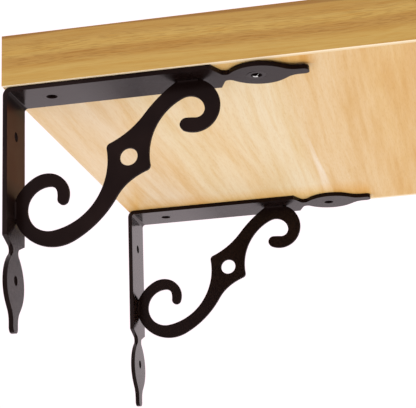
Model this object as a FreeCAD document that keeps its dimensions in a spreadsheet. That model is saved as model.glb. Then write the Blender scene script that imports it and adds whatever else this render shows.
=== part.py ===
import FreeCAD, Part
import math
import os

import Sketcher
from FreeCAD import Vector

# Wall shelf on two scrolled brackets.
# Frame: X runs along the wall, -Y points into the room, +Z is up.
# The origin is on the wall plane, at the centre of the four wall-screw holes.
# Each bracket is drawn in a frame of its own: the middle of the strap, the wall plane
# and the underside of the board meet at its origin.

doc = FreeCAD.newDocument("WallShelf")

# ---------------------------------------------------------------- driving dimensions

DIMENSIONS = {
    # board
    "board_length": 253.1,
    "board_depth": 230,
    "board_thickness": 26.4,
    "board_shift": -2.45,
    "lipping_thickness": 3,
    "arris": 0.1,
    # bent strap of a bracket
    "bracket_spacing": 228.2,
    "strap_width": 26.3,
    "strap_thickness": 2.4,
    "bend_outer_radius": 4.2,
    "shelf_arm_length": 150,
    "wall_arm_length": 120.4,
    "tip_to_hole": 25.7,
    "shelf_rear_hole": 21,
    "wall_upper_hole": 21.65,
    "wall_hole_radius": 2.5,
    "countersink_radius": 4.65,
    "countersink_lead": 0.2,
    "strap_edge_radius": 0.1,
    # a leaf may be bent away from the board, by its drop at its screw hole
    "leaf_bend_out": 99,
    "leaf_bend_radius": 150,
    "left_leaf_drop": 0.65,
    "right_leaf_drop": 0,
    # scroll plate of a bracket
    "scroll_thickness": 2,
    "scroll_hole_out": 59.9,
    "scroll_hole_down": 37.85,
    "scroll_hole_radius": 4.52,
    "scroll_corner_radius": 2.6,
    "scroll_edge_radius": 0.1,
    "upper_flat_start": 84.2,
    "upper_flat_end": 96.8,
    "lower_flat_start": 54.2,
    "lower_flat_end": 65.3,
    # weld beads
    "weld_leg": 0.9,
    "weld_end_gap": 1.2,
    # shelf screws
    "head_radius": 4.6,
    "shank_radius": 2.4,
    "screw_length": 19,
    "thread_pitch": 1.8,
    "thread_depth": 0.6,
    "socket_flats": 4,
    "socket_depth": 1.6,
    "socket_entry_radius": 2.75,
    "socket_entry_depth": 0.5,
}
# The wall-screw holes lie this far above and below the origin.
HOLE_DROP = "({wall_arm_length} - {tip_to_hole} - {wall_upper_hole}) / 2"
# The front shelf screws lie this far out from the wall.
FRONT_HOLE = "({shelf_arm_length} - {tip_to_hole})"
# Lengths closer than this are the same.
TOLERANCE = 0.01
# A cut goes this far beyond the piece that it cuts through.
CLEARANCE = 3
# First guess at a shape's size or place, before its constraints set it.
ROUGH = 10

sheet = doc.addObject("Spreadsheet::Sheet", "Dimensions")
for row, (name, value) in enumerate(DIMENSIONS.items(), start=1):
    sheet.set("A%d" % row, name)
    sheet.set("B%d" % row, str(value))
    sheet.setAlias("B%d" % row, name)
doc.recompute()


def size(name):
    """The present value of a cell of the sheet."""
    return float(sheet.get(name))


def bind(thing, prop, formula):
    """Bind a property to the sheet; a name in braces is a cell."""
    thing.setExpression(prop, formula.replace("{", "Dimensions.").replace("}", ""))


# ---------------------------------------------------------------- drawing helpers


def new_body(label, x="0"):
    """A body whose own origin is at x along the wall, level with the board's underside."""
    body = doc.addObject("PartDesign::Body", label)
    body.Label = label
    bind(body, ".Placement.Base.x", x)
    bind(body, ".Placement.Base.z", "{wall_upper_hole} + " + HOLE_DROP)
    return body


def new_sketch(body, name, plane, rise=None, shift=None):
    """A sketch on a plane of the body's origin, moved along its normal and its own y."""
    sketch = body.newObject("Sketcher::SketchObject", name)
    role = plane + "_Plane"
    origin_plane = [item for item in body.Origin.OriginFeatures if item.Role == role][0]
    sketch.AttachmentSupport = [(origin_plane, "")]
    sketch.MapMode = "FlatFace"
    if rise:
        bind(sketch, ".AttachmentOffset.Base.z", rise)
    if shift:
        bind(sketch, ".AttachmentOffset.Base.y", shift)
    return sketch


def draw_closed(sketch, edges):
    """Draw lines and arcs end to end and join their ends, the last to the first."""
    joints = []
    for edge in edges:
        index = sketch.addGeometry(edge, False)
        from_first = sketch.getPoint(index, 1).isEqual(edge.StartPoint, TOLERANCE)
        joints.append((index, 1, 2) if from_first else (index, 2, 1))
    for here, after in zip(joints, joints[1:] + joints[:1]):
        sketch.addConstraint(Sketcher.Constraint("Coincident", here[0], here[2], after[0], after[1]))


def line(start, end):
    return Part.LineSegment(Vector(*start), Vector(*end))


def tangent_arcs(start, direction, ends):
    """Arcs from start through each of the ends, each leaving along the one before it.

    The direction and every point are in the sketch's plane.
    """
    edges = []
    here = Vector(*start)
    heading = math.atan2(direction[1], direction[0])
    for point in ends:
        there = Vector(*point)
        chord = there - here
        half_turn = math.atan2(chord.y, chord.x) - heading
        half_turn = math.atan2(math.sin(half_turn), math.cos(half_turn))
        middle_heading = heading + half_turn / 2
        reach = chord.Length / 2 / math.cos(half_turn / 2)
        middle = here + Vector(math.cos(middle_heading), math.sin(middle_heading)) * reach
        edges.append(Part.Arc(here, middle, there))
        heading += 2 * half_turn
        here = there
    return edges


def add_circle(sketch, radius, x="0", y="0"):
    """A circle held at a place in its sketch; the radius and the place are formulas."""
    centre = Vector(-ROUGH, -ROUGH)
    circle = sketch.addGeometry(Part.Circle(centre, Vector(0, 0, 1), ROUGH), False)
    origin_and_centre = (-1, 1, circle, 3)
    for constraint, formula in (
        (Sketcher.Constraint("Radius", circle, ROUGH), radius),
        (Sketcher.Constraint("DistanceX", *origin_and_centre, -ROUGH), x),
        (Sketcher.Constraint("DistanceY", *origin_and_centre, -ROUGH), y),
    ):
        index = sketch.addConstraint(constraint)
        bind(sketch, "Constraints[%d]" % index, formula)


def add_pad(body, sketch, length, midplane=False, reverse=False):
    pad = body.newObject("PartDesign::Pad", sketch.Name + "Pad")
    pad.Profile = sketch
    bind(pad, "Length", length)
    pad.Midplane = midplane
    pad.Reversed = reverse
    doc.recompute()
    return pad


def add_pocket(body, sketch, length, reverse=False, taper=0):
    """Cut the sketch's shapes out of the body, and make sure that something was cut."""
    volume_before = body.Shape.Volume
    pocket = body.newObject("PartDesign::Pocket", sketch.Name + "Pocket")
    pocket.Profile = sketch
    bind(pocket, "Length", length)
    pocket.Reversed = reverse
    pocket.TaperAngle = taper
    doc.recompute()
    if body.Shape.Volume >= volume_before - TOLERANCE:
        raise RuntimeError(sketch.Name + " cuts nothing")
    return pocket


def add_mirror(body, feature, role):
    """Repeat a feature on the other side of one of the body's origin planes."""
    mirror = body.newObject("PartDesign::Mirrored", feature.Name + "Mirror")
    mirror.Originals = [feature]
    plane = [item for item in body.Origin.OriginFeatures if item.Role == role][0]
    mirror.MirrorPlane = (plane, [""])
    body.Tip = mirror
    doc.recompute()
    return mirror


def round_edges(body, radius, wanted):
    """Round the edges of the body for which wanted(edge) is true."""
    base = body.Tip
    names = ["Edge%d" % (n + 1) for n, edge in enumerate(base.Shape.Edges) if wanted(edge)]
    fillet = body.newObject("PartDesign::Fillet", body.Name + "_round")
    fillet.Base = (base, names)
    bind(fillet, "Radius", radius)
    doc.recompute()
    return fillet


def cut_corners(body, leg, wanted):
    """Chamfer the edges of the body for which wanted(edge) is true."""
    base = body.Tip
    names = ["Edge%d" % (n + 1) for n, edge in enumerate(base.Shape.Edges) if wanted(edge)]
    chamfer = body.newObject("PartDesign::Chamfer", body.Name + "_arris")
    chamfer.Base = (base, names)
    bind(chamfer, "Size", leg)
    doc.recompute()
    return chamfer


def is_across(edge, thickness_cell):
    """True for a straight edge that goes through a plate from face to face."""
    straight = edge.Curve.TypeId == "Part::GeomLine"
    return straight and abs(edge.Length - size(thickness_cell)) < TOLERANCE


# ---------------------------------------------------------------- bracket strap


def shelf_arm_face(depth, leaf_drop):
    """One long face of the shelf arm, depth below the board: its points from heel to tip.

    A leaf that drops adds three points on its bend.
    """
    heel = Vector(-size("bend_outer_radius"), -depth)
    tip_out = -size("shelf_arm_length")
    if not leaf_drop:
        return [heel, Vector(tip_out, -depth)]
    bend_out = -size("leaf_bend_out")
    hole_out = size("tip_to_hole") + tip_out
    angle = math.atan(leaf_drop / (bend_out - hole_out))
    radius = size("leaf_bend_radius") - depth

    def on_bend(turn):
        return Vector(bend_out - radius * math.sin(turn), -depth + radius * (math.cos(turn) - 1))

    bend_end = on_bend(angle)
    tip = Vector(tip_out, bend_end.y - (bend_end.x - tip_out) * math.tan(angle))
    return [heel, on_bend(0), on_bend(angle / 2), bend_end, tip]


def face_edges(points):
    """A straight edge through two points, or straight, an arc and straight through five."""
    if len(points) == 2:
        return [line(*points)]
    start, bend_start, bend_middle, bend_end, end = points
    bend = Part.Arc(bend_start, bend_middle, bend_end)
    return [line(start, bend_start), bend, line(bend_end, end)]


def strap_profile(leaf_drop):
    """The L of the bent flat bar, seen along the wall, as (room, up)."""
    arm_down = -size("wall_arm_length")
    thick = size("strap_thickness")
    outer = size("bend_outer_radius")
    inner = outer - thick
    slant = math.sqrt(0.5)
    outer_middle = Vector(outer * (slant - 1), outer * (slant - 1))
    inner_middle = Vector(-outer + inner * slant, -outer + inner * slant)
    upper = shelf_arm_face(0, leaf_drop)
    lower = shelf_arm_face(thick, leaf_drop)
    edges = face_edges(upper[::-1])
    edges += [
        Part.Arc(Vector(-outer, 0), outer_middle, Vector(0, -outer)),
        line((0, -outer), (0, arm_down)),
        line((0, arm_down), (-thick, arm_down)),
        line((-thick, arm_down), (-thick, -outer)),
        Part.Arc(Vector(-thick, -outer), inner_middle, Vector(-outer, -thick)),
    ]
    edges += face_edges(lower)
    edges.append(line(lower[-1], upper[-1]))
    return edges


def leaf_waste():
    """What is cut off one side of an arm's end to leave its leaf and stem.

    The leaf's screw hole is at (0, 0), and the arm ends in the -y direction.
    """
    side = size("strap_width") / 2
    tip = -size("tip_to_hole")
    shoulder = (side, 19.9)
    neck = (5.2, 16.6)
    stem = (3.4, -20.7)
    tip_radius = 2.7
    stem_end = (stem[0], tip + tip_radius)
    tip_flat = (stem[0] - tip_radius, tip)
    leaf = [(4.7, 12.4), (9.8, 7), (12.4, -1.5), (9.2, -11), (6, -14.6), stem]
    outline = [line(shoulder, neck)]
    outline += tangent_arcs(neck, (neck[0] - shoulder[0], neck[1] - shoulder[1]), leaf)
    outline.append(line(stem, stem_end))
    outline += tangent_arcs(stem_end, (0, -1), [tip_flat])
    beside = side + CLEARANCE
    beyond = tip - CLEARANCE
    clear = [tip_flat, (tip_flat[0], beyond), (beside, beyond), (beside, shoulder[1]), shoulder]
    outline += [line(start, end) for start, end in zip(clear, clear[1:])]
    return outline


def cut_countersink(body, name, out, drop="0"):
    """A countersunk hole in the shelf arm, from a little below its lower face."""
    below = "({strap_thickness} + {countersink_lead} + %s)" % drop
    sketch = new_sketch(body, name, "XY", rise="-" + below)
    add_circle(sketch, "{countersink_radius} + {countersink_lead}", y="-" + out)
    add_pocket(body, sketch, below, reverse=True, taper=-45)


def make_strap(label, x, drop_cell):
    """The bent flat bar, whose leaf under the board drops by the value of a cell."""
    body = new_body(label, x)
    profile = new_sketch(body, label + "_profile", "YZ")
    draw_closed(profile, strap_profile(size(drop_cell)))
    add_pad(body, profile, "{strap_width}", midplane=True)
    through = "{strap_thickness} + %d" % CLEARANCE

    shelf_leaf = new_sketch(body, label + "_shelf_leaf", "XY", shift="{tip_to_hole} - {shelf_arm_length}")
    draw_closed(shelf_leaf, leaf_waste())
    pocket = add_pocket(body, shelf_leaf, through)
    add_mirror(body, pocket, "YZ_Plane")

    wall_leaf = new_sketch(body, label + "_wall_leaf", "XZ", shift="{tip_to_hole} - {wall_arm_length}")
    draw_closed(wall_leaf, leaf_waste())
    pocket = add_pocket(body, wall_leaf, through, reverse=True)
    add_mirror(body, pocket, "YZ_Plane")

    wall_holes = new_sketch(body, label + "_wall_holes", "XZ")
    for down in ("{wall_upper_hole}", "({wall_arm_length} - {tip_to_hole})"):
        add_circle(wall_holes, "{wall_hole_radius}", y="-" + down)
    add_pocket(body, wall_holes, through, reverse=True)
    cut_countersink(body, label + "_rear_hole", "{shelf_rear_hole}")
    cut_countersink(body, label + "_front_hole", FRONT_HOLE, "{%s}" % drop_cell)

    rims = [edge for edge in body.Shape.Edges if edge.isClosed()]
    if len(rims) != 8:
        raise RuntimeError(label + " should have four round holes")

    def is_outer(edge):
        return not edge.isClosed() and not is_across(edge, "strap_thickness")

    round_edges(body, "{strap_edge_radius}", is_outer)
    return body


# ---------------------------------------------------------------- bracket scroll


# The two points of the plate beside its hole, before rounding, as (out from the wall, down).
UPPER_POINT = (48.6, 31)
LOWER_POINT = (70.9, 44.7)


def from_wall(points):
    """Turn (out from the wall, down from the board) into a sketch's (room, up)."""
    return [(-out, -down) for out, down in points]


def scroll_outline():
    """The S of the scroll plate, which meets the strap along two short flats."""
    face = size("strap_thickness")
    upper_flat = [(size("upper_flat_start"), face), (size("upper_flat_end"), face)]
    lower_flat = [(face, size("lower_flat_end")), (face, size("lower_flat_start"))]
    upper_back = [(68.2, 17), upper_flat[0]]
    upper_hook = [(104.8, 9.9), (103.3, 23.3), (87.6, 27.4), (89, 21.2)]
    upper_inside = [(93.5, 21.5), (98.3, 16.4), (87.2, 10.7), (77.5, 18), LOWER_POINT]
    lower_back = [(60.2, 49.9), (53.6, 57.1), (31.9, 77.2), lower_flat[0]]
    lower_hook = [(12.4, 43.8), (22.2, 42.9), (29.1, 57), (23.8, 55.7)]
    lower_inside = [(23.7, 52.1), (20, 48.9), (8.5, 58.9), (21.8, 71.5), (43.8, 57.2), UPPER_POINT]

    def side(start, degrees, ends):
        """Tangent arcs from start; degrees turns from straight out towards down."""
        angle = math.radians(degrees)
        direction = (-math.cos(angle), -math.sin(angle))
        return tangent_arcs(from_wall([start])[0], direction, from_wall(ends))

    edges = side(UPPER_POINT, -20, upper_back)
    edges.append(line(*from_wall(upper_flat)))
    edges += side(upper_flat[1], 19, upper_hook + upper_inside)
    edges += side(LOWER_POINT, 164.4, lower_back)
    edges.append(line(*from_wall(lower_flat)))
    edges += side(lower_flat[1], -64, lower_hook + lower_inside)
    return edges


def make_scroll(label, x):
    body = new_body(label, x)
    outline = new_sketch(body, label + "_outline", "YZ")
    draw_closed(outline, scroll_outline())
    add_pad(body, outline, "{scroll_thickness}", midplane=True)

    hole = new_sketch(body, label + "_hole", "YZ", rise="{scroll_thickness} / 2")
    add_circle(hole, "{scroll_hole_radius}", "-{scroll_hole_out}", "-{scroll_hole_down}")
    add_pocket(body, hole, "{scroll_thickness}")

    def is_point(edge):
        middle = edge.CenterOfMass
        places = from_wall([UPPER_POINT, LOWER_POINT])
        at_point = any(math.hypot(middle.y - y, middle.z - z) < TOLERANCE for y, z in places)
        return at_point and is_across(edge, "scroll_thickness")

    def is_outline(edge):
        return edge.Curve.TypeId != "Part::GeomLine"

    round_edges(body, "{scroll_corner_radius}", is_point)
    round_edges(body, "{scroll_edge_radius}", is_outline)
    return body


# ---------------------------------------------------------------- welds


# How far a bead's crown stands out of its corner, as a part of its leg.
WELD_CROWN = 0.62


def make_weld(label, x, plane, towards, flat):
    """A bead on each side of the plate, along the flat where it stands on the strap.

    The plane cuts across the arm, and towards is the sign of the arm's direction along
    the plane's normal. The flat names the cells of the contact's start and end.
    """
    body = new_body(label, x)
    body.AllowCompound = True
    side = size("scroll_thickness") / 2
    face = -size("strap_thickness")
    leg = size("weld_leg")
    crown = Vector(side + leg * WELD_CROWN, face - leg * WELD_CROWN)
    middle = "%s({%s_start} + {%s_end}) / 2" % (towards, flat, flat)
    section = new_sketch(body, label + "_section", plane, rise=middle)
    draw_closed(
        section,
        [
            line((side, face), (side, face - leg)),
            Part.Arc(Vector(side, face - leg), crown, Vector(side + leg, face)),
            line((side + leg, face), (side, face)),
        ],
    )
    run = "{%s_end} - {%s_start} - 2 * {weld_end_gap}" % (flat, flat)
    pad = add_pad(body, section, run, midplane=True)
    add_mirror(body, pad, "YZ_Plane")
    return body


# ---------------------------------------------------------------- shelf screws


# Below the head the shank is plain for this long, then runs into the thread's root.
PLAIN_SHANK = 2.5
RUN_OUT = 0.4
# The last turn of the thread ends this far before the tip.
BARE_TIP = 0.6
# The thread's flank and crest, as parts of a turn, and the tip's least share of the radius.
FLANK = 0.6
CREST = 0.8
TIP_SHARE = 0.15


def screw_profile():
    """Half of a countersunk wood screw, as (radius, height above the head's face)."""
    head = size("head_radius")
    shank = size("shank_radius")
    length = size("screw_length")
    pitch = size("thread_pitch")
    root = shank - size("thread_depth")
    cone = head - shank
    height = cone + PLAIN_SHANK + RUN_OUT
    corners = [(0, 0), (head, 0), (shank, cone), (shank, cone + PLAIN_SHANK), (root, height)]
    point_length = 3 * pitch
    while height + pitch < length - BARE_TIP:
        taper = min(1, (length - height - pitch) / point_length + TIP_SHARE)
        corners.append((root * taper, height + pitch * FLANK))
        corners.append((shank * taper, height + pitch * CREST))
        corners.append((root * taper, height + pitch))
        height += pitch
    corners.append((0, length))
    return [line(a, b) for a, b in zip(corners, corners[1:] + corners[:1])]


def socket_outline():
    """The hexagon of the key's socket in a screw's head."""
    reach = size("socket_flats") / math.sqrt(3)
    corners = []
    for sixth in range(6):
        angle = math.radians(60 * sixth)
        corners.append((reach * math.sin(angle), reach * math.cos(angle)))
    return [line(a, b) for a, b in zip(corners, corners[1:] + corners[:1])]


def make_screw(label, x, out, drop="0"):
    """A countersunk wood screw, driven up through the shelf arm by a hexagon key."""
    body = new_body(label, x)
    head_face = "{wall_upper_hole} + %s - {strap_thickness} - %s" % (HOLE_DROP, drop)
    bind(body, ".Placement.Base.y", "-" + out)
    bind(body, ".Placement.Base.z", head_face)
    profile = new_sketch(body, label + "_profile", "XZ")
    draw_closed(profile, screw_profile())
    turned = body.newObject("PartDesign::Revolution", label + "_turned")
    turned.Profile = profile
    turned.ReferenceAxis = (profile, ["V_Axis"])
    turned.Angle = 360
    doc.recompute()
    socket = new_sketch(body, label + "_socket", "XY")
    draw_closed(socket, socket_outline())
    add_pocket(body, socket, "{socket_depth}", reverse=True)
    entry = new_sketch(body, label + "_entry", "XY")
    add_circle(entry, "{socket_entry_radius}")
    add_pocket(body, entry, "{socket_entry_depth}", reverse=True, taper=-45)
    return body


# ---------------------------------------------------------------- board


def make_block(label, x_from, x_to, y_from, y_to, outside_x=None, outside_front=False):
    """A block as thick as the board, between two places along the wall and two in depth.

    The arrises of its outside faces are eased: outside_x is 0 where the block's start
    is the board's end and 1 where its own end is, and outside_front is its front face.
    """
    body = new_body(label, x_from)
    bind(body, ".Placement.Base.y", y_from)
    footprint = new_sketch(body, label + "_footprint", "XY")
    corners = [(0, 0), (ROUGH, 0), (ROUGH, -ROUGH), (0, -ROUGH)]
    draw_closed(footprint, [line(a, b) for a, b in zip(corners, corners[1:] + corners[:1])])
    for index, kind in enumerate(("Horizontal", "Vertical", "Horizontal", "Vertical")):
        footprint.addConstraint(Sketcher.Constraint(kind, index))
    footprint.addConstraint(Sketcher.Constraint("Coincident", 0, 1, -1, 1))
    width = footprint.addConstraint(Sketcher.Constraint("DistanceX", 0, 1, 0, 2, ROUGH))
    bind(footprint, "Constraints[%d]" % width, "(%s) - (%s)" % (x_to, x_from))
    depth = footprint.addConstraint(Sketcher.Constraint("DistanceY", 1, 2, 1, 1, ROUGH))
    bind(footprint, "Constraints[%d]" % depth, "(%s) - (%s)" % (y_from, y_to))
    pad = add_pad(body, footprint, "{board_thickness}")
    local = pad.Shape.BoundBox
    end_face = {None: None, 0: local.XMin, 1: local.XMax}[outside_x]
    front_face = local.YMin if outside_front else None

    def is_arris(edge):
        middle = edge.CenterOfMass
        on_end = end_face is not None and abs(middle.x - end_face) < TOLERANCE
        on_front = front_face is not None and abs(middle.y - front_face) < TOLERANCE
        on_top_or_bottom = min(abs(middle.z - local.ZMin), abs(middle.z - local.ZMax)) < TOLERANCE
        return on_end + on_front + on_top_or_bottom >= 2

    if outside_x is not None or outside_front:
        cut_corners(body, "{arris}", is_arris)
    return body


def make_panel(label, blank, screws):
    """The board's panel: the blank less the holes that the screws cut into it."""
    bores = doc.addObject("Part::MultiFuse", "screw_bores")
    bores.Shapes = screws
    panel = doc.addObject("Part::Cut", label)
    panel.Label = label
    panel.Base = blank
    panel.Tool = bores
    doc.recompute()
    cut = blank.Shape.Volume - panel.Shape.Volume
    if cut < sum(screw.Shape.Volume for screw in screws) / 2:
        raise RuntimeError("the screws cut no holes in the panel")
    return panel


# ---------------------------------------------------------------- the whole shelf


def make_bracket(side, x):
    """The welded bracket: strap, scroll and the beads that join them."""
    return [
        make_strap(side + "_bracket_strap", x, side + "_leaf_drop"),
        make_scroll(side + "_bracket_scroll", x),
        make_weld(side + "_shelf_arm_weld", x, "XZ", "", "upper_flat"),
        make_weld(side + "_wall_arm_weld", x, "XY", "-", "lower_flat"),
    ]


def make_board(screws):
    """The panel between its lippings; the lippings at the ends run the full depth."""
    left = "{board_shift} - {board_length} / 2"
    right = "{board_shift} + {board_length} / 2"
    inner_left = left + " + {lipping_thickness}"
    inner_right = right + " - {lipping_thickness}"
    front = "-{board_depth}"
    inner_front = "{lipping_thickness} - {board_depth}"
    blank = make_block("panel_blank", inner_left, inner_right, "0", inner_front)
    return [
        make_panel("shelf_panel", blank, screws),
        make_block("left_end_lipping", left, inner_left, "0", front, 0, True),
        make_block("right_end_lipping", inner_right, right, "0", front, 1, True),
        make_block("front_lipping", inner_left, inner_right, inner_front, front, None, True),
    ]


def check_document(nodes):
    """Stop if any object failed to compute or any piece is missing or invalid."""
    for item in doc.Objects:
        if "Invalid" in item.State or "Error" in item.State:
            raise RuntimeError(item.Name + " failed: " + str(item.State))
    for node in nodes:
        if node.Shape.isNull() or not node.Shape.isValid() or not node.Shape.Solids:
            raise RuntimeError(node.Label + " has no valid shape")


nodes = []
screws = []
for side, x in (("left", "-{bracket_spacing} / 2"), ("right", "{bracket_spacing} / 2")):
    nodes += make_bracket(side, x)
    screws.append(make_screw(side + "_rear_shelf_screw", x, "{shelf_rear_hole}"))
    screws.append(make_screw(side + "_front_shelf_screw", x, FRONT_HOLE, "{%s_leaf_drop}" % side))
nodes += screws + make_board(screws)
doc.recompute()
check_document(nodes)

os.makedirs("parts", exist_ok=True)
for node in nodes:
    node.Shape.exportStep("parts/%s.step" % node.Label)
    box = node.Shape.optimalBoundingBox()
    print("%-26s %9.1f mm3, x %7.2f to %7.2f, y %7.2f to %7.2f, z %6.2f to %6.2f" % (
        node.Label, node.Shape.Volume, box.XMin, box.XMax, box.YMin, box.YMax, box.ZMin, box.ZMax))
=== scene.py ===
import math

import bpy
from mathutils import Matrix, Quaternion, Vector


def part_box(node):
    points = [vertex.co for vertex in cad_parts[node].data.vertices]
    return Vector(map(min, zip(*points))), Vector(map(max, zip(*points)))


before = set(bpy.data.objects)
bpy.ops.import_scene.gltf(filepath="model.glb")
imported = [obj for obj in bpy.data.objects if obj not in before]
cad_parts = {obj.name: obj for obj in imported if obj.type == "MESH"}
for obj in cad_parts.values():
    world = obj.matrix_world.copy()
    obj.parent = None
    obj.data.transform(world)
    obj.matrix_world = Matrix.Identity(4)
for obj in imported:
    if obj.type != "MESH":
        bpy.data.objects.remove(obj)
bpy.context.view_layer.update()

# Lengths are in metres, in the row frame: +X along the wall, -Y out from it and +Z up.
# Where a look has a pair of places, it fades in or out between them.

# ---------------------------------------------------------------- the board

BOARD_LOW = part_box("left_end_lipping")[0]
BOARD_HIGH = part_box("right_end_lipping")[1]

# ---------------------------------------------------------------- wood colours

ROSE = (0.805, 0.685, 0.435)
CREAM = (0.830, 0.740, 0.465)
BUTTER = (0.830, 0.700, 0.405)
SAND = (0.805, 0.650, 0.360)
STRAW = (0.775, 0.605, 0.305)
HONEY = (0.745, 0.540, 0.220)
PALE_STREAK = (0.880, 0.820, 0.620)

GOLD_LIGHT = (0.475, 0.325, 0.082)
GOLD = (0.410, 0.258, 0.060)
GOLD_DARK = (0.400, 0.240, 0.053)
GOLD_EDGE = (0.290, 0.160, 0.036)
# A painted highlight along the outer edge of the lippings' undersides.
EDGE_HIGHLIGHT = (0.980, 0.900, 0.620)

# A shade is the share of the wood's colour that is left where a grain line or painted shadow is.
STREAK_SHADE = (0.930, 0.840, 0.660)
PORE_SHADE = (0.850, 0.740, 0.550)
DASH_SHADE = (0.700, 0.620, 0.500)
# Painted warm shadow of the brackets on the panel's underside.
BRACKET_SHADOW_TINT = (0.970, 0.800, 0.480)

# Growth rings of the panel: distance from the wall, and the colour there.
PANEL_BANDS = (
    (0.000, ROSE),
    (0.036, ROSE),
    (0.047, SAND),
    (0.062, CREAM),
    (0.086, BUTTER),
    (0.104, CREAM),
    (0.124, CREAM),
    (0.136, STRAW),
    (0.156, STRAW),
    (0.176, HONEY),
    (0.188, HONEY),
    (0.202, STRAW),
    (0.230, HONEY),
)

# Growth rings of the lippings: depth below the board's top, and the colour there.
LIPPING_BANDS = (
    (0.0000, GOLD_EDGE),
    (0.0008, GOLD_EDGE),
    (0.0016, GOLD),
    (0.0055, GOLD),
    (0.0085, GOLD_LIGHT),
    (0.0110, GOLD_LIGHT),
    (0.0130, GOLD_DARK),
    (0.0155, GOLD_DARK),
    (0.0200, GOLD_LIGHT),
    (0.0260, GOLD_LIGHT),
)

# ---------------------------------------------------------------- wood grain

# Lines of the panel's grain: how many to a metre along the grain, and across it, and how
# far they wander sideways.
PANEL_BROAD = (7.0, 100.0)
PANEL_STREAKS = (15.0, 280.0)
PANEL_FIBRES = (90.0, 1200.0)
PANEL_PORES = (200.0, 2600.0)
PANEL_WANDER = 0.002

# How strongly the lines darken the panel, where they are above a level from 0 to 1. The
# broad ones darken it more far from the wall.
BROAD_START = 0.3
BROAD_WEIGHT = 0.85
BROAD_FAR = (0.125, 0.165)
BROAD_FAR_GAIN = 1.7
BROAD_MOST = 1.4
LINE_START = 0.4
STREAK_WEIGHT = 0.65
FIBRE_WEIGHT = 0.22
PORE_START = (0.75, 0.95)
PORE_WEIGHT = 0.3

# The same for the lippings. Their dashes are strongest in the heart, a depth below the top.
LIPPING_BROAD = (5.0, 180.0)
LIPPING_STREAKS = (14.0, 500.0)
LIPPING_FIBRES = (60.0, 1600.0)
LIPPING_DASHES = (130.0, 3200.0)
LIPPING_WANDER = 0.0012
LIPPING_BROAD_WEIGHT = 0.5
LIPPING_STREAK_WEIGHT = 0.7
LIPPING_FIBRE_START = 0.5
LIPPING_FIBRE_WEIGHT = 0.8
DASH_START = (0.52, 0.75)
DASH_WEIGHT = 0.6
HEART_START = (0.003, 0.007)
HEART_END = (0.016, 0.019)
DASH_OUTSIDE_HEART = 0.2

# The lippings are cut from different places along one plank.
LEFT_CUT = 0.0
RIGHT_CUT = 0.7
FRONT_CUT = 1.9

# The grain's sideways wandering, so many turns to a metre along the grain and across it.
DRIFT_ALONG = 9.0
DRIFT_ACROSS = 14.0

# The panel's grain lies along the shelf near the wall, and leans towards it further out.
LEAN_PLACE = (-0.060, -0.130)
GRAIN_LEAN = 0.060

# A pale streak in the panel: distance from the wall, its two ends along the shelf (it is
# a line at the first and full width at the second), and the length over which it shows up.
STREAK_PLACE = 0.1316
STREAK_ENDS = (-0.020, 0.100)
STREAK_WIDTH = 0.0062
STREAK_LINE = 0.0003
STREAK_SOFT_EDGE = (0.6, 1.2)
STREAK_FADE = 0.05
STREAK_PALENESS = 0.95

# A painted highlight covers the outer part of a lipping's underside, this wide and this blurred.
HIGHLIGHT_WIDTH = 0.0013
HIGHLIGHT_BLUR = 0.0003
FACING_DOWN = (-0.25, -0.6)

# A warm painted shadow on the panel's underside beside each strap: its width, its width
# at the wall, where it starts to widen, and the length over which it ends at the strap's tip.
SHADE_WIDTH = 0.020
SHADE_WIDTH_AT_WALL = 0.026
SHADE_WIDENS = -0.030
SHADE_END = 0.004
STRAP_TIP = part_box("right_bracket_strap")[0].y
UNDERSIDE_END = (0.0005, 0.0015)

# The same painted shadow runs out from the right bracket's corner: its start, heading,
# length, half width and strength.
CORNER_SHADOW_START = (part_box("right_bracket_strap")[0].x, -0.006)
CORNER_SHADOW_HEADING = (-0.970, -0.243)
CORNER_SHADOW_LENGTH = 0.075
CORNER_SHADOW_WIDTH = 0.008
CORNER_SHADOW_STRENGTH = 1.2

# How rough the wood is, from its smoothest to its roughest fibres, and its relief.
PANEL_ROUGHNESS = (0.42, 0.6)
LIPPING_ROUGHNESS = (0.45, 0.6)
STREAK_RELIEF = 0.6  # a streak's share of a fibre's height
WOOD_RELIEF = 0.00008
WOOD_BUMP = 0.6
WOOD_IOR = 1.45
WOOD_SHINE = 0.35

# ---------------------------------------------------------------- steel

COAT_DARK = (0.0058, 0.0029, 0.0024)
COAT_LIGHT = (0.0100, 0.0054, 0.0044)
COAT_REFLECTION = (0.328, 0.282, 0.280)
# A painted brown reflection of the wood, on the left wall arm's dull face.
PAINTED_WOOD_REFLECTION = (0.0340, 0.0070, 0.0020)
# A painted glint in one screw's socket.
PAINTED_GLINT = (0.86, 0.92, 0.88)

# Powder coat where it is dull, and where it is glossy.
COAT_ROUGHNESS = (0.36, 0.17)
COAT_SHINE = (0.05, 0.72)
COAT_IOR = 1.3

# Unevenness of the coat, so many lumps to a metre.
COAT_CLOUDS = 60.0
COAT_PEEL = 900.0
COAT_GRIT = 4200.0
COAT_UNEVENNESS = 0.03
COAT_GRIT_RELIEF = 0.3  # its share of the peel's height
COAT_RELIEF = 0.00002
COAT_BUMP = 0.5

# The shelf arms are dull in front, at y, and glossy from the second distance to the wall.
GLOSS_FADE = (-0.055, -0.035)
FRONT_GLOSS = 0.45

# The wall arms are less glossy at their lower tips, at z.
TIP_FADE = (-0.060, -0.030)
TIP_GLOSS = 0.66

# The left bracket's leaves are less glossy: the one below, at z, and the front one, at y.
LEFT_LEAF_BELOW = (-0.020, -0.030)
LEFT_LEAF_IN_FRONT = (-0.095, -0.105)
LEFT_LEAF_GLOSS = 0.70

# The left bracket's wall arm is dull, at z, on the face away from the wall, at y.
DULL_FROM = (-0.012, -0.004)
DULL_FACE = (-0.0056, -0.0046)
FACING_OUT = (-0.15, -0.5)
DULL_GLOSS = 0.07

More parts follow.
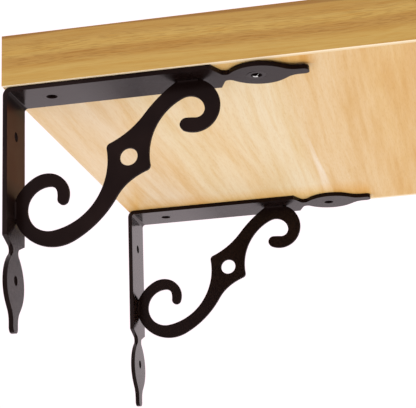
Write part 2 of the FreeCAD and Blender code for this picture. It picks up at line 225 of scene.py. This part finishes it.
# The dull face has a painted brown reflection of the wood between these heights.
REFLECTION_START = (0.002, 0.014)
REFLECTION_END = (0.047, 0.052)

# The scrolls are dull on their edges and glossier on their faces, which look along X.
FACE_TURN = (0.5, 0.9)
FACE_GLOSS = 0.7

# A screw's head is glossy outside its dark key socket.
SOCKET_RADIUS = 0.0028
SOCKET_BLUR = 0.0001

# A painted glint in one screw's socket, on the side towards +X: part of the rim, and a
# slanting stroke inside. Offsets in y from the screw's axis, depths from its lowest point,
# and offsets in x.
GLINT_SCREW = "left_front_shelf_screw"
GLINT_RIM_START = (-0.0004, 0.0)
GLINT_RIM_END = (0.0018, 0.0022)
GLINT_RIM_DEPTH = (0.0003, 0.0004)
STROKE_PLACE = 0.00065
STROKE_EDGE = (0.0001, 0.0003)
STROKE_DEPTH = (0.0014, 0.0016)
GLINT_SIDE = (0.0008, 0.0010)
GLINT_FROM_DEPTH = (0.00002, 0.00005)

# ---------------------------------------------------------------- camera, light and floor

VIEW_AZIMUTH = 77.646  # degrees from +Y towards +X
VIEW_RISE = 16.442  # degrees above the horizon: the camera looks up at the shelf
VIEW_ROLL = -1.865
VIEW_DISTANCE = 0.888
VIEW_AIM = Vector((0.0, -0.0733, 0.02733))  # between the two brackets
LENS = 139.775  # millimetres, as is the sensor
SENSOR = 36.0
NEAREST_SEEN = 0.01

STUDIO_COLOUR = (1.0, 0.88, 0.92)
STUDIO_STRENGTH = 1.15
KEY_PLACE = Vector((-1.6, -2.2, 2.0))
KEY_SIZE = 1.5
KEY_POWER = 30.0

HEIGHT_ABOVE_FLOOR = 1.6
FLOOR_SIZE = 30.0
FLOOR_COLOUR = (0.90, 0.90, 0.90)
FLOOR_CLOUD_COLOUR = (0.70, 0.70, 0.70)
FLOOR_CLOUDS = 3.0
FLOOR_CLOUD_WEIGHT = 0.05
FLOOR_ROUGHNESS = 0.9

# ---------------------------------------------------------------- node helpers

# A noise lies mostly within the first of these, and seldom leaves the second.
MIDDLE_OF_NOISE = (0.3, 0.7)
MOST_OF_NOISE = (0.2, 0.8)
GRAIN_ROUGHNESS = 0.6  # how much of a grain noise is fine detail
RISE = (0.0, 1.0)
FALL = (1.0, 0.0)


class Material:
    """A material's node tree, with one short call for each kind of node."""

    def __init__(self, name):
        self.data = bpy.data.materials.new(name)
        self.data.use_nodes = True
        self.tree = self.data.node_tree
        self.tree.nodes.clear()

    def node(self, kind, inputs, **settings):
        """Adds a node; each input is a number, a colour or another node's output."""
        node = self.tree.nodes.new(kind)
        for name, value in settings.items():
            setattr(node, name, value)
        for key, value in inputs.items():
            if isinstance(value, bpy.types.NodeSocket):
                self.tree.links.new(value, node.inputs[key])
            else:
                node.inputs[key].default_value = value
        return node

    def math(self, operation, first, second=0.0):
        return self.node("ShaderNodeMath", {0: first, 1: second}, operation=operation).outputs[0]

    def add(self, first, second):
        return self.math("ADD", first, second)

    def subtract(self, first, second):
        return self.math("SUBTRACT", first, second)

    def size(self, value):
        """The value without its sign."""
        return self.math("ABSOLUTE", value)

    def product(self, *values):
        total = values[0]
        for value in values[1:]:
            total = self.math("MULTIPLY", total, value)
        return total

    def least(self, *values):
        total = values[0]
        for value in values[1:]:
            total = self.math("MINIMUM", total, value)
        return total

    def most(self, first, second):
        return self.math("MAXIMUM", first, second)

    def place(self):
        """Place in the row frame."""
        return self.node("ShaderNodeTexCoord", {}).outputs["Object"]

    def facing(self):
        """The x, y and z of the surface's direction."""
        return self.parts(self.node("ShaderNodeNewGeometry", {}).outputs["Normal"])

    def parts(self, vector):
        return self.node("ShaderNodeSeparateXYZ", {0: vector}).outputs

    def vector(self, x, y, z):
        return self.node("ShaderNodeCombineXYZ", {0: x, 1: y, 2: z}).outputs[0]

    def length(self, x, y):
        inputs = {0: self.vector(x, y, 0.0)}
        return self.node("ShaderNodeVectorMath", inputs, operation="LENGTH").outputs[1]

    def noise(self, vector, scale, detail=2.0, roughness=0.5):
        """Noise from 0 to 1, with so many lumps to a metre along each axis."""
        inputs = {0: vector, 1: scale}
        stretched = self.node("ShaderNodeVectorMath", inputs, operation="MULTIPLY").outputs[0]
        inputs = {"Vector": stretched, "Scale": 1.0, "Detail": detail, "Roughness": roughness,
                  "Distortion": 0.0}
        return self.node("ShaderNodeTexNoise", inputs).outputs["Fac"]

    def span(self, value, places, results=RISE):
        """Maps between two places to between two results, and holds the ends."""
        inputs = {0: value, 1: places[0], 2: places[1], 3: results[0], 4: results[1]}
        return self.node("ShaderNodeMapRange", inputs).outputs[0]

    def mix(self, factor, first, second, blend="MIX"):
        """Mixes two colours."""
        inputs = {0: factor}
        for key, colour in ((6, first), (7, second)):
            is_socket = isinstance(colour, bpy.types.NodeSocket)
            inputs[key] = colour if is_socket else (*colour, 1.0)
        settings = {"data_type": "RGBA", "blend_type": blend}
        return self.node("ShaderNodeMix", inputs, **settings).outputs[2]

    def bands(self, place, stops):
        """A colour ramp along a length."""
        length = stops[-1][0]
        ramp = self.node("ShaderNodeValToRGB", {0: self.math("DIVIDE", place, length)})
        elements = ramp.color_ramp.elements
        elements.remove(elements[0])
        for index, (where, colour) in enumerate(stops):
            element = elements[0] if index == 0 else elements.new(1.0)
            element.position = where / length
            element.color = (*colour, 1.0)
        return ramp.outputs[0]

    def bump(self, height, distance, strength):
        inputs = {"Height": height, "Distance": distance, "Strength": strength}
        return self.node("ShaderNodeBump", inputs).outputs[0]

    def finish(self, inputs):
        """Adds the shader and returns the material."""
        shader = self.node("ShaderNodeBsdfPrincipled", inputs)
        self.node("ShaderNodeOutputMaterial", {"Surface": shader.outputs[0]})
        return self.data


# ---------------------------------------------------------------- wood


def along_grain(wood, direction, offset, wander):
    """Place with the grain as the first axis, wandering sideways as real grain does."""
    x, y, z = wood.parts(wood.place())
    along, across = (x, y) if direction == "X" else (y, x)
    along = wood.add(along, offset)
    drift_scale = (DRIFT_ALONG, DRIFT_ACROSS, DRIFT_ACROSS)
    drift = wood.noise(wood.vector(along, across, z), drift_scale, detail=1.0)
    drift = wood.span(drift, MOST_OF_NOISE, (-wander, wander))
    return along, wood.add(across, drift), wood.add(z, drift)


def grain(wood, place, lines, detail=2.0):
    """Grain lines from 0 to 1, so many to a metre along the grain and across it."""
    along, across = lines
    scale = (along, across, across)
    raw = wood.noise(place, scale, detail=detail, roughness=GRAIN_ROUGHNESS)
    return wood.span(raw, MIDDLE_OF_NOISE)


def shaded(wood, colour, amount, shade):
    """Multiplies a colour by a shade where the amount is 1."""
    return wood.mix(amount, colour, wood.mix(1.0, colour, shade, blend="MULTIPLY"))


def streaked(wood, colour, lines, weight, start=LINE_START):
    """Darkens a colour where the lines are above a start."""
    return shaded(wood, colour, wood.span(lines, (start, 1.0), (0.0, weight)), STREAK_SHADE)


def wood_finish(wood, colour, fibres, streaks, roughness):
    height = wood.add(fibres, wood.product(streaks, STREAK_RELIEF))
    return wood.finish({
        "Base Color": colour,
        "Roughness": wood.span(height, RISE, roughness),
        "Normal": wood.bump(height, WOOD_RELIEF, WOOD_BUMP),
        "IOR": WOOD_IOR,
        "Specular IOR Level": WOOD_SHINE,
    })


def painted_bracket_shadow(wood):
    """Painted shadow from 0 to 1 on the underside just left of each strap, wider towards the
    wall.
    """
    x, y, z = wood.parts(wood.place())
    underside = [BOARD_LOW.z + height for height in UNDERSIDE_END]
    width = wood.span(y, (SHADE_WIDENS, 0.0), (SHADE_WIDTH, SHADE_WIDTH_AT_WALL))
    before_tip = wood.span(y, (STRAP_TIP - SHADE_END, STRAP_TIP))
    total = 0.0
    for strap in ("left_bracket_strap", "right_bracket_strap"):
        low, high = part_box(strap)
        near = wood.math("DIVIDE", wood.subtract(x, low.x), width)
        left_of_strap = wood.math("LESS_THAN", x, (low.x + high.x) / 2)
        shade = wood.product(wood.span(near, (-1.0, 0.0)), left_of_strap, before_tip)
        total = wood.add(shade, total)
    # The painted shadow also fans out from the right bracket's corner.
    off_x, off_y = wood.subtract(x, CORNER_SHADOW_START[0]), wood.subtract(y, CORNER_SHADOW_START[1])
    ahead, aside = CORNER_SHADOW_HEADING
    along = wood.add(wood.product(off_x, ahead), wood.product(off_y, aside))
    across = wood.subtract(wood.product(off_x, aside), wood.product(off_y, ahead))
    corner_shadow = wood.product(
        wood.span(wood.size(across), (0.0, CORNER_SHADOW_WIDTH), FALL),
        wood.span(along, (0.0, CORNER_SHADOW_LENGTH), (CORNER_SHADOW_STRENGTH, 0.0)))
    total = wood.most(total, wood.least(corner_shadow, 1.0))
    return wood.product(total, wood.span(z, underside, FALL))


def with_pale_streak(wood, colour, along, from_wall):
    """Adds the panel's pale streak, a long wedge."""
    off_streak = wood.size(wood.subtract(from_wall, STREAK_PLACE))
    half_width = wood.span(along, STREAK_ENDS, (STREAK_LINE, STREAK_WIDTH / 2))
    start = STREAK_ENDS[0]
    pale = wood.product(
        wood.span(wood.math("DIVIDE", off_streak, half_width), STREAK_SOFT_EDGE, FALL),
        wood.span(along, (start, start + STREAK_FADE), (0.0, STREAK_PALENESS)))
    return wood.mix(pale, colour, PALE_STREAK)


def pale_wood():
    """The panel: grain along the shelf, in paler and warmer bands across it."""
    wood = Material("pale_wood")
    along, across, height = along_grain(wood, "X", 0.0, PANEL_WANDER)
    lean = wood.product(along, wood.span(across, LEAN_PLACE, (0.0, GRAIN_LEAN)))
    across = wood.subtract(across, lean)
    place = wood.vector(along, across, height)
    from_wall = wood.product(across, -1.0)
    streaks = grain(wood, place, PANEL_STREAKS)
    fibres = grain(wood, place, PANEL_FIBRES)
    pores = wood.span(grain(wood, place, PANEL_PORES, detail=0.0), PORE_START)
    broad = grain(wood, place, PANEL_BROAD)
    broad = wood.product(
        wood.span(broad, (BROAD_START, 1.0), (0.0, BROAD_WEIGHT)),
        wood.span(from_wall, BROAD_FAR, (1.0, BROAD_FAR_GAIN)))
    colour = wood.bands(from_wall, PANEL_BANDS)
    colour = with_pale_streak(wood, colour, along, from_wall)
    colour = shaded(wood, colour, wood.least(broad, BROAD_MOST), STREAK_SHADE)
    colour = streaked(wood, colour, streaks, STREAK_WEIGHT)
    colour = streaked(wood, colour, fibres, FIBRE_WEIGHT)
    colour = shaded(wood, colour, wood.product(pores, PORE_WEIGHT), PORE_SHADE)
    # Painted warm shadow of the brackets on the underside.
    colour = shaded(wood, colour, painted_bracket_shadow(wood), BRACKET_SHADOW_TINT)
    return wood_finish(wood, colour, fibres, streaks, PANEL_ROUGHNESS)


def underside_with_highlight(wood):
    """The colour under a lipping, with a painted highlight at the board's outer edge."""
    x, y, _ = wood.parts(wood.place())
    inside = wood.least(
        wood.subtract(x, BOARD_LOW.x), wood.subtract(BOARD_HIGH.x, x),
        wood.subtract(y, BOARD_LOW.y))
    edge = (HIGHLIGHT_WIDTH - HIGHLIGHT_BLUR, HIGHLIGHT_WIDTH + HIGHLIGHT_BLUR)
    return wood.mix(wood.span(inside, edge), EDGE_HIGHLIGHT, BUTTER)


def golden_wood(name, direction, offset):
    """A lipping: golden wood with the grain along its length and a paler underside with a
    painted highlight at its outer edge.
    """
    wood = Material(name)
    along, across, height = along_grain(wood, direction, offset, LIPPING_WANDER)
    place = wood.vector(along, across, height)
    depth = wood.subtract(BOARD_HIGH.z, height)
    broad = grain(wood, place, LIPPING_BROAD)
    streaks = grain(wood, place, LIPPING_STREAKS, detail=3.0)
    fibres = grain(wood, place, LIPPING_FIBRES)
    dashes = wood.span(grain(wood, place, LIPPING_DASHES, detail=1.0), DASH_START)
    in_heart = wood.product(wood.span(depth, HEART_START), wood.span(depth, HEART_END, FALL))
    dashes = wood.product(dashes, wood.span(in_heart, RISE, (DASH_OUTSIDE_HEART, 1.0)))
    colour = wood.bands(depth, LIPPING_BANDS)
    colour = streaked(wood, colour, broad, LIPPING_BROAD_WEIGHT)
    colour = streaked(wood, colour, streaks, LIPPING_STREAK_WEIGHT)
    colour = streaked(wood, colour, fibres, LIPPING_FIBRE_WEIGHT, LIPPING_FIBRE_START)
    colour = shaded(wood, colour, wood.product(dashes, DASH_WEIGHT), DASH_SHADE)
    below = wood.span(wood.facing()[2], FACING_DOWN)
    # The paler underside, with its painted edge highlight.
    colour = wood.mix(below, colour, underside_with_highlight(wood))
    return wood_finish(wood, colour, fibres, streaks, LIPPING_ROUGHNESS)


# ---------------------------------------------------------------- steel


def coat_layers(coat):
    """Cloudiness, orange peel and grit of the powder coat, each from 0 to 1."""
    place = coat.place()
    layers = ((COAT_CLOUDS, 3.0), (COAT_PEEL, 2.0), (COAT_GRIT, 1.0))
    noises = [coat.noise(place, (scale, scale, scale), detail) for scale, detail in layers]
    return [coat.span(noise, MIDDLE_OF_NOISE) for noise in noises]


def coat_finish(coat, colour, gloss, layers):
    """Satin black; the gloss is 1 where the coat is glossiest and 0 where it is dull."""
    cloud, peel, grit = layers
    uneven = coat.add(coat.product(cloud, 0.5), coat.product(grit, 0.5))
    uneven = coat.span(uneven, MOST_OF_NOISE, (-COAT_UNEVENNESS, COAT_UNEVENNESS))
    height = coat.add(peel, coat.product(grit, COAT_GRIT_RELIEF))
    return coat.finish({
        "Base Color": colour,
        "Roughness": coat.add(uneven, coat.span(gloss, RISE, COAT_ROUGHNESS)),
        "Normal": coat.bump(height, COAT_RELIEF, COAT_BUMP),
        "IOR": COAT_IOR,
        "Specular IOR Level": coat.span(gloss, RISE, COAT_SHINE),
        "Specular Tint": (*COAT_REFLECTION, 1.0),
    })


def strap_coat():
    """Powder coat on the straps: glossier on the wall arms and near the bends."""
    coat = Material("strap_coat")
    layers = coat_layers(coat)
    x, y, z = coat.parts(coat.place())
    left = coat.math("LESS_THAN", x, 0.0)
    leaf = coat.most(coat.span(z, LEFT_LEAF_BELOW), coat.span(y, LEFT_LEAF_IN_FRONT))
    dull = coat.product(
        coat.span(z, DULL_FROM), left, coat.span(y, DULL_FACE),
        coat.span(coat.facing()[1], FACING_OUT))
    gloss = coat.product(
        coat.span(y, GLOSS_FADE, (FRONT_GLOSS, 1.0)),
        coat.span(z, TIP_FADE, (TIP_GLOSS, 1.0)),
        coat.span(coat.product(left, leaf), RISE, (1.0, LEFT_LEAF_GLOSS)),
        coat.span(dull, RISE, (1.0, DULL_GLOSS)))
    # Painted brown reflection of the wood on the dull face.
    wood_reflection = coat.product(dull, coat.span(z, REFLECTION_START), coat.span(z, REFLECTION_END, FALL))
    colour = coat.mix(wood_reflection, coat.mix(layers[0], COAT_DARK, COAT_LIGHT), PAINTED_WOOD_REFLECTION)
    return coat_finish(coat, colour, gloss, layers)


def plate_coat():
    """Powder coat on the scrolls and welds: dull on the cut edges."""
    coat = Material("plate_coat")
    layers = coat_layers(coat)
    gloss = coat.span(coat.size(coat.facing()[0]), FACE_TURN, (0.0, FACE_GLOSS))
    return coat_finish(coat, coat.mix(layers[0], COAT_DARK, COAT_LIGHT), gloss, layers)


def painted_socket_glint(coat, off_x, off_y, depth):
    """1 where the socket has a painted glint."""
    rim = coat.product(
        coat.span(off_y, GLINT_RIM_START), coat.span(off_y, GLINT_RIM_END, FALL),
        coat.span(depth, GLINT_RIM_DEPTH, FALL))
    off_stroke = coat.size(coat.subtract(coat.add(off_y, depth), STROKE_PLACE))
    stroke = coat.product(
        coat.span(off_stroke, STROKE_EDGE, FALL), coat.span(depth, STROKE_DEPTH, FALL))
    return coat.product(
        coat.most(rim, stroke), coat.span(off_x, GLINT_SIDE),
        coat.span(depth, GLINT_FROM_DEPTH))


def screw_coat(name):
    """Blackened steel, with a dark key socket in the head."""
    coat = Material(name + "_coat")
    layers = coat_layers(coat)
    low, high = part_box(name)
    axis = (low + high) / 2
    x, y, z = coat.parts(coat.place())
    off_x, off_y = coat.subtract(x, axis.x), coat.subtract(y, axis.y)
    head = (SOCKET_RADIUS, SOCKET_RADIUS + SOCKET_BLUR)
    gloss = coat.product(
        coat.span(y, GLOSS_FADE, (FRONT_GLOSS, 1.0)),
        coat.span(coat.length(off_x, off_y), head))
    colour = coat.mix(layers[0], COAT_DARK, COAT_LIGHT)
    # One screw gets a painted glint in its socket.
    if name == GLINT_SCREW:
        glint = painted_socket_glint(coat, off_x, off_y, coat.subtract(z, low.z))
        colour = coat.mix(glint, colour, PAINTED_GLINT)
    return coat_finish(coat, colour, gloss, layers)


def dress():
    """Gives every node its material."""
    looks = {
        "strap": strap_coat(),
        "scroll": plate_coat(),
        "shelf_panel": pale_wood(),
        "left_end_lipping": golden_wood("golden_wood_left", "Y", LEFT_CUT),
        "right_end_lipping": golden_wood("golden_wood_right", "Y", RIGHT_CUT),
        "front_lipping": golden_wood("golden_wood_front", "X", FRONT_CUT),
    }
    looks["weld"] = looks["scroll"]
    for name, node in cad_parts.items():
        kind = name.rsplit("_", 1)[1]
        look = screw_coat(name) if kind == "screw" else looks.get(name) or looks[kind]
        for material_slot in node.material_slots:
            material_slot.material = look


# ---------------------------------------------------------------- camera, light and floor


def place_camera():
    turn, rise = math.radians(VIEW_AZIMUTH), math.radians(VIEW_RISE)
    level = math.cos(rise)
    forward = Vector((math.sin(turn) * level, math.cos(turn) * level, math.sin(rise)))
    data = bpy.data.cameras.new("camera")
    data.lens = LENS
    data.sensor_width = SENSOR
    data.clip_start = NEAREST_SEEN
    camera = bpy.data.objects.new("camera", data)
    camera.location = VIEW_AIM - forward * VIEW_DISTANCE
    camera.rotation_mode = "QUATERNION"
    roll = Quaternion((0.0, 0.0, 1.0), math.radians(VIEW_ROLL))
    camera.rotation_quaternion = forward.to_track_quat("-Z", "Y") @ roll
    bpy.context.scene.collection.objects.link(camera)
    bpy.context.scene.camera = camera


def light_room():
    """A pale studio all round, and a large square key light that faces the shelf."""
    world = bpy.data.worlds.new("studio")
    world.use_nodes = True
    background = world.node_tree.nodes["Background"]
    background.inputs[0].default_value = (*STUDIO_COLOUR, 1.0)
    background.inputs[1].default_value = STUDIO_STRENGTH
    bpy.context.scene.world = world
    data = bpy.data.lights.new("key", "AREA")
    data.size = KEY_SIZE
    data.energy = KEY_POWER
    light = bpy.data.objects.new("key", data)
    light.location = KEY_PLACE
    light.rotation_mode = "QUATERNION"
    light.rotation_quaternion = (VIEW_AIM - KEY_PLACE).to_track_quat("-Z", "Y")
    bpy.context.scene.collection.objects.link(light)


def lay_floor():
    mesh = bpy.data.meshes.new("floor")
    half = FLOOR_SIZE / 2
    corners = [(-half, -half, 0), (half, -half, 0), (half, half, 0), (-half, half, 0)]
    mesh.from_pydata(corners, [], [(0, 1, 2, 3)])
    floor = bpy.data.objects.new("floor", mesh)
    floor.location.z = -HEIGHT_ABOVE_FLOOR
    bpy.context.scene.collection.objects.link(floor)
    paint = Material("floor_paint")
    cloud = paint.noise(paint.place(), (FLOOR_CLOUDS, FLOOR_CLOUDS, FLOOR_CLOUDS))
    cloud = paint.span(cloud, MIDDLE_OF_NOISE, (0.0, FLOOR_CLOUD_WEIGHT))
    mesh.materials.append(paint.finish({
        "Base Color": paint.mix(cloud, FLOOR_COLOUR, FLOOR_CLOUD_COLOUR),
        "Roughness": FLOOR_ROUGHNESS,
    }))


dress()
place_camera()
light_room()
lay_floor()
bpy.context.scene.view_settings.view_transform = "Standard"
